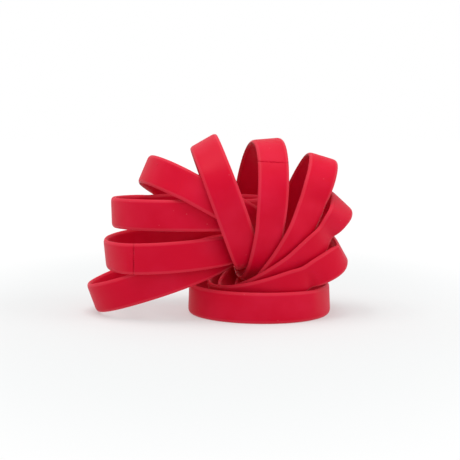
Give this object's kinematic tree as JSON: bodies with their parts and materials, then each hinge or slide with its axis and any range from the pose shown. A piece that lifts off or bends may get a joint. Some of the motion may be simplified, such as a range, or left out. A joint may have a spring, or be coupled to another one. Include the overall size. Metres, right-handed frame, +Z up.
{
  "type": "nest of silicone wristbands",
  "caption": "Fanned nest of plain red silicone wristbands, each loop pushed part-way into the one before it and the lowest lying flat.",
  "frame": {"origin": "on the floor under the middle of the whole nest", "axes": "+X along the fan's width towards the far end of the flat first band, +Y into the depth of the loops, +Z up"},
  "size_m": [0.1124, 0.0688, 0.0754],
  "materials": {
    "band_01": "matt silicone with a soft sheen",
    "band_02": "matt silicone with a soft sheen",
    "band_03": "matt silicone with a soft sheen",
    "band_04": "matt silicone with a soft sheen",
    "band_05": "matt silicone with a soft sheen",
    "band_06": "matt silicone with a soft sheen",
    "band_07": "matt silicone with a soft sheen",
    "band_08": "matt silicone with a soft sheen",
    "band_09": "matt silicone with a soft sheen",
    "band_10": "matt silicone with a soft sheen"
  },
  "bodies": {
    "band_01": {"band_01": "band_01"},
    "band_02": {"band_02": "band_02"},
    "band_03": {"band_03": "band_03"},
    "band_04": {"band_04": "band_04"},
    "band_05": {"band_05": "band_05"},
    "band_06": {"band_06": "band_06"},
    "band_07": {"band_07": "band_07"},
    "band_08": {"band_08": "band_08"},
    "band_09": {"band_09": "band_09"},
    "band_10": {"band_10": "band_10"}
  },
  "joints": [
    {"name": "band_02_turn", "type": "hinge", "parent": "band_01", "child": "band_02", "pos_m": [-0.00335, 0, 0.00735], "axis": [0, 1, 0], "range_deg": [0, 0.8]},
    {"name": "band_03_draw", "type": "slide", "parent": "band_02", "child": "band_03", "axis": [-0.6361, 0, 0.7716], "range_m": [0, 0.002]},
    {"name": "band_04_turn", "type": "hinge", "parent": "band_03", "child": "band_04", "pos_m": [0.01144, 0, 0.00482], "axis": [0, 1, 0], "range_deg": [0, 0.8]},
    {"name": "band_05_turn", "type": "hinge", "parent": "band_04", "child": "band_05", "pos_m": [0.01393, 0, 0.01321], "axis": [0, 1, 0], "range_deg": [0, 1.8]},
    {"name": "band_06_turn", "type": "hinge", "parent": "band_05", "child": "band_06", "pos_m": [0.01212, 0, 0.02032], "axis": [0, 1, 0], "range_deg": [0, 1.8]},
    {"name": "band_07_turn", "type": "hinge", "parent": "band_06", "child": "band_07", "pos_m": [0.02135, 0, 0.03189], "axis": [0, 1, 0], "range_deg": [0, 0.8]},
    {"name": "band_08_turn", "type": "hinge", "parent": "band_07", "child": "band_08", "pos_m": [0.02094, 0, 0.0425], "axis": [0, 1, 0], "range_deg": [0, 1.6]},
    {"name": "band_09_turn", "type": "hinge", "parent": "band_08", "child": "band_09", "pos_m": [0.01568, 0, 0.03004], "axis": [0, 1, 0], "range_deg": [0, 0.8]},
    {"name": "band_10_turn", "type": "hinge", "parent": "band_09", "child": "band_10", "pos_m": [0.01237, 0, 0.02901], "axis": [0, 1, 0], "range_deg": [0, 0.8]}
  ]
}
